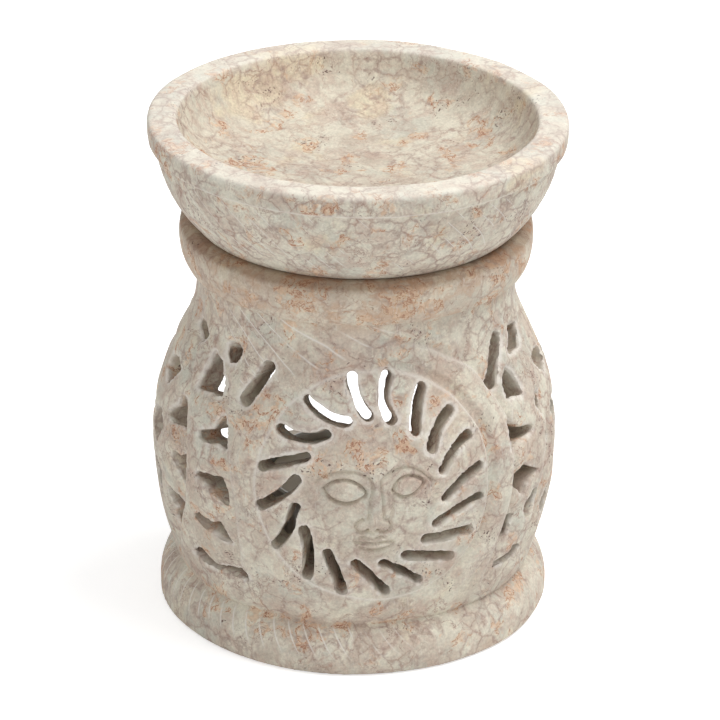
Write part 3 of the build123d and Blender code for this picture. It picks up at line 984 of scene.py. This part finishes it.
class BURNER_OT_studio(Operator):
    """Lay the white paper floor, hang the soft lights and set up the camera"""

    bl_idname = "burner.studio"
    bl_label = "Set up studio"

    def execute(self, context):
        studio = context.scene.burner_studio
        context.scene.camera = self.place_camera(studio)
        self.lay_floor(studio)
        self.hang_lights(context.scene, studio)
        context.scene.view_settings.view_transform = "Standard"
        return {"FINISHED"}

    def place_camera(self, studio):
        camera = bpy.data.cameras.new("camera")
        camera.lens = studio.lens
        camera.sensor_width = 36
        camera.clip_start = 0.01
        camera.clip_end = 20
        stand = add_piece("camera", camera)
        stand.matrix_world = (
            Matrix.Rotation(studio.azimuth, 4, "Z")
            @ Matrix.Translation((studio.aim_aside, 0, studio.aim_height))
            @ Matrix.Rotation(pi / 2 - studio.elevation, 4, "X")
            @ Matrix.Translation((0, 0, studio.distance))
            @ Matrix.Rotation(studio.roll, 4, "Z")
        )
        return stand

    def lay_floor(self, studio):
        mesh = bpy.data.meshes.new("paper_floor")
        reach = 3.0
        corners = [(-reach, -reach, 0), (reach, -reach, 0), (reach, reach, 0), (-reach, reach, 0)]
        mesh.from_pydata(corners, [], [(0, 1, 2, 3)])
        floor = add_piece("paper_floor", mesh)
        finish = Coat("white_paper")
        fibres = finish.noise(finish.spot, 1.5, 3.0)
        finish.connect(finish.surface, {
            "Base Color": finish.mix(fibres * 0.05, studio.paper, (0.8, 0.8, 0.8)),
            "Roughness": 0.9 - 0.05 * fibres,
            "Specular IOR Level": 0.1,
        })
        plain = Wire(finish, finish.surface.outputs[0])
        glow = finish.node("ShaderNodeEmission", {}, {"Color": (1, 1, 1), "Strength": PAPER_GLOW})
        both = finish.node("ShaderNodeAddShader", {}, {0: plain, 1: glow})
        shown = finish.node("ShaderNodeMixShader", {}, {0: finish.shows(), 1: plain, 2: both})
        finish.connect(finish.output, {"Surface": shown})
        floor.data.materials.append(finish.owner)

    def hang_lights(self, scene, studio):
        for name, place, size, watts in (
            ("softbox_above", (0.30, -0.02, 0.73), 0.55, studio.key),
            ("softbox_front", (-0.35, -0.75, 0.40), 0.50, studio.fill),
        ):
            light = bpy.data.lights.new(name, "AREA")
            light.shape = "DISK"
            light.size = size
            light.energy = watts
            lamp = add_piece(name, light)
            lamp.location = place
            lamp.rotation_euler = (lamp.location - LIGHT_AIM).to_track_quat("Z", "Y").to_euler()
        scene.world = bpy.data.worlds.new("white_studio")
        sky = Finish(scene.world)
        daylight = sky.node("ShaderNodeBackground", {}, {"Color": (1, 1, 1), "Strength": studio.sky})
        backdrop = sky.node("ShaderNodeBackground", {}, {"Color": (1, 1, 1), "Strength": BACKDROP_GLOW})
        choice = sky.node("ShaderNodeMixShader", {}, {0: sky.shows(), 1: daylight, 2: backdrop})
        sky.connect(sky.output, {"Surface": choice})


class BURNER_OT_body(Operator):
    """Carve the pierced body with its sun, fretwork and engraving"""

    bl_idname = "burner.body"
    bl_label = "Carve body"

    def execute(self, context):
        stone = context.scene.burner_stone
        piece = carve_body(stone)
        finish_stone(piece, soapstone("body_soapstone", stone.body_cell, 0.85, 0.0, BODY_STAINS, body_hatch))
        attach(piece, "body")
        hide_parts("pierced_body")
        return {"FINISHED"}


class BURNER_OT_bowl(Operator):
    """Turn the loose bowl that holds water and oil"""

    bl_idname = "burner.bowl"
    bl_label = "Turn bowl"

    def execute(self, context):
        stone = context.scene.burner_stone
        piece = turn_bowl(stone)
        finish_stone(piece, soapstone("bowl_soapstone", stone.bowl_cell, 1.0, 0.06, BOWL_STAINS, bowl_hatch))
        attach(piece, "bowl")
        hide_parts("oil_bowl")
        return {"FINISHED"}


class BURNER_OT_tealight(Operator):
    """Make the tealight: fluted cup, cast wax, braided wick and its sustainer"""

    bl_idname = "burner.tealight"
    bl_label = "Make tealight"

    def execute(self, context):
        candle = context.scene.burner_tealight
        self.press_cup(candle)
        self.cast_wax(candle)
        self.braid_wick(candle)
        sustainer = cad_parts["wick_sustainer"]
        sustainer.data.materials.clear()
        sustainer.data.materials.append(sheet_metal("tinplate", candle.tinplate, 0.3))
        return {"FINISHED"}

    def press_cup(self, candle):
        middle, radius, bottom, top = turned_size("tealight_cup")
        sheet = candle.sheet / MM
        wall = radius - 0.62
        rows = [(0, bottom), (wall - 2.4, bottom), (wall - 1.2, bottom), (wall - 0.75, bottom + 0.35),
                (wall - 0.55, bottom + 1.0)]
        climb = np.linspace(bottom + 2.0, top - 1.2, 9)
        rows += [(wall - 0.5 + 0.45 * (height - bottom) / (top - bottom), height) for height in climb]
        rows += [(wall, top - 0.9), (radius, top - 0.75), (radius, top - 0.25), (radius - 0.25, top),
                 (radius - 0.6, top), (radius - 0.85, top - 0.3)]
        inner = [(r - sheet, z) for r, z in reversed(rows[3:14])]
        rows += inner + [(wall - 1.3, bottom + sheet), (0, bottom + sheet)]
        deep = candle.flute_depth / MM

        def flutes(index, angles):
            height = rows[index][1]
            strength = soft_step(bottom + 0.6, bottom + 2.6, height)
            strength *= 1 - soft_step(top - 2.2, top - 1.0, height)
            return -deep * strength * (0.5 + 0.5 * np.cos(angles * candle.flutes))

        cup = lathe("fluted_cup", rows, candle.flutes * 6, flutes, middle)
        cup.data.materials.append(sheet_metal("cup_aluminium", candle.aluminium, 0.28))
        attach(cup, "tealight")
        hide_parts("tealight_cup")

    def cast_wax(self, candle):
        middle, outer, bottom, top = turned_size("tealight_wax")
        wick = turned_size("tealight_wick")[1]
        radius = outer - 0.25
        rows = [(wick, bottom), (radius - 0.55, bottom), (radius - 0.3, bottom + 0.3), (radius, top - 0.3)]
        rows += [(radius - 0.15, top - 0.05), (radius - 0.6, top - 0.15)]
        for share in np.linspace(0.93, 0.1, 16):
            rows.append((radius * share, top - 0.35 - 0.45 * (1 - share)))
        rows += [(wick + 0.7, top - 0.75), (wick + 0.25, top - 0.5), (wick, top - 0.2)]

        def sag(index, angles):
            wave = 0.12 * np.sin(angles * 3 + index * 0.4) + 0.05 * np.sin(angles * 7)
            return wave * (index > 5)

        wax = lathe("cast_wax", rows + rows[:1], 96, sag, middle)
        wax.data.materials.append(candle_wax(candle.wax))
        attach(wax, "tealight")
        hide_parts("tealight_wax")

    def braid_wick(self, candle):
        middle, radius, bottom, top = turned_size("tealight_wick")
        heights = np.linspace(bottom, top, 70)
        rows = [(0, bottom)] + [(radius - 0.12, height) for height in heights] + [(0, top)]
        rows[-2] = (radius * 0.6, top - 0.02)

        def strands(index, angles):
            height = rows[index][1]
            one = np.abs(np.cos(1.5 * angles + height * 1.7))
            other = np.abs(np.cos(1.5 * angles - height * 1.7))
            return 0.12 * np.maximum(one, other) ** 0.5 - 0.06

        wick = lathe("braided_wick", rows, 36, strands, middle)
        wick.data.materials.append(cotton(candle.cotton))
        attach(wick, "tealight")
        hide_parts("tealight_wick")


class BURNER_PT_maker(Panel):
    """Sizes, colours and steps of the burner"""

    bl_label = "Oil burner"
    bl_space_type = "VIEW_3D"
    bl_region_type = "UI"
    bl_category = "Burner"

    def draw(self, context):
        scene = context.scene
        for operator, group in (
            (BURNER_OT_studio, scene.burner_studio), (BURNER_OT_body, scene.burner_stone),
            (BURNER_OT_bowl, None), (BURNER_OT_tealight, scene.burner_tealight),
        ):
            box = self.layout.box()
            box.operator(operator.bl_idname)
            for name in group.__annotations__ if group else ():
                box.prop(group, name)


SETTINGS = {
    "burner_stone": BURNER_PG_stone, "burner_tealight": BURNER_PG_tealight, "burner_studio": BURNER_PG_studio,
}
CLASSES = (
    *SETTINGS.values(), BURNER_OT_studio, BURNER_OT_body, BURNER_OT_bowl, BURNER_OT_tealight, BURNER_PT_maker,
)


def register():
    for cls in CLASSES:
        bpy.utils.register_class(cls)
    for name, group in SETTINGS.items():
        setattr(bpy.types.Scene, name, PointerProperty(type=group))


def unregister():
    for name in SETTINGS:
        delattr(bpy.types.Scene, name)
    for cls in reversed(CLASSES):
        bpy.utils.unregister_class(cls)


def main():
    register()
    bpy.ops.burner.studio()
    bpy.ops.burner.body()
    bpy.ops.burner.bowl()
    bpy.ops.burner.tealight()


if __name__ == "__main__":
    main()
